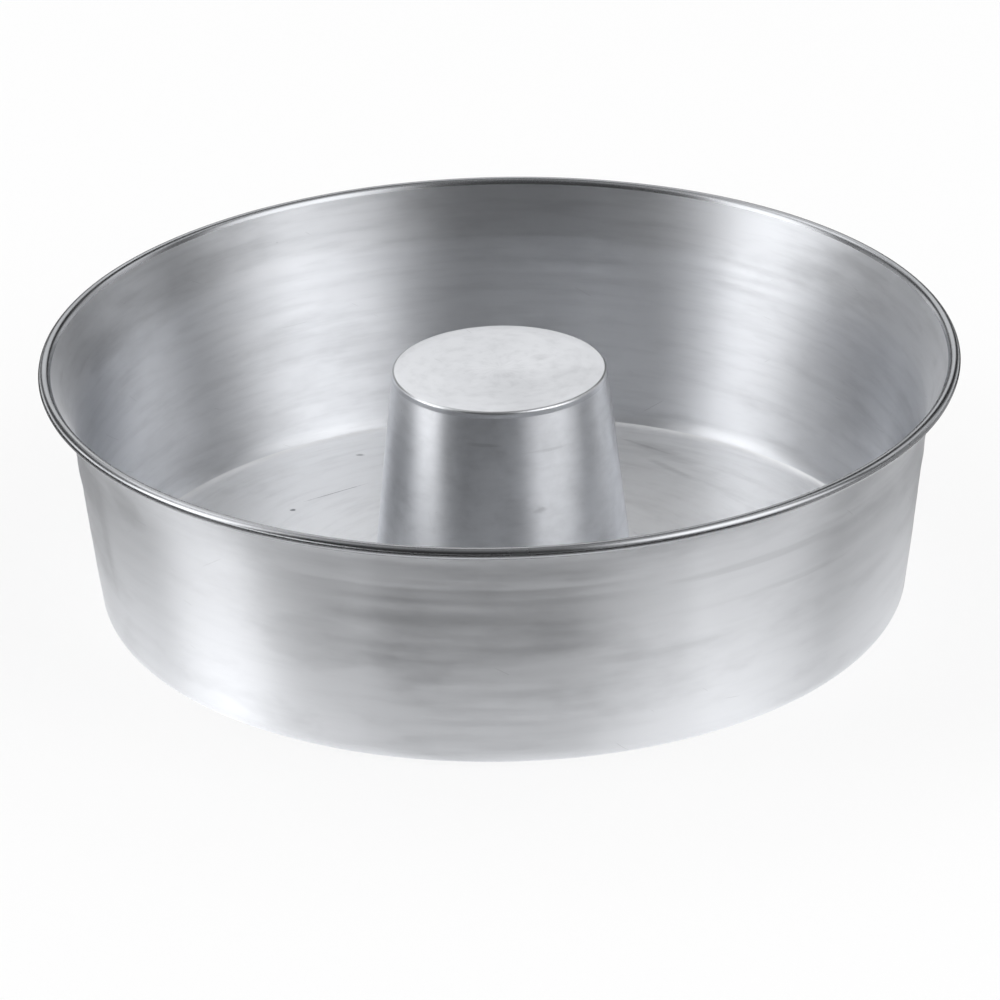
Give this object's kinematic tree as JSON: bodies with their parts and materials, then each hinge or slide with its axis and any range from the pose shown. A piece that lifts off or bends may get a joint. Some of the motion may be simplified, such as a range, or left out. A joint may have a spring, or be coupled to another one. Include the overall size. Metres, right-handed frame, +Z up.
{
  "type": "savarin mould",
  "caption": "Round ring-cake mould in bare aluminium: a tapered pan with a flared, rolled rim and a closed centre cone locked into its floor.",
  "frame": {"origin": "middle of the flat base, on the plane that the mould stands on", "axes": "+Z up along the axis of the pan and cone; the mould is round, so +X and +Y are free"},
  "size_m": [0.24, 0.24, 0.0673],
  "materials": {
    "spun_aluminium": "bare, spun, fine grooves round the axis",
    "drawn_aluminium": "bare, drawn, lightly polished"
  },
  "bodies": {
    "root": {"mould_body": "spun_aluminium", "centre_cone": "drawn_aluminium"}
  },
  "joints": []
}
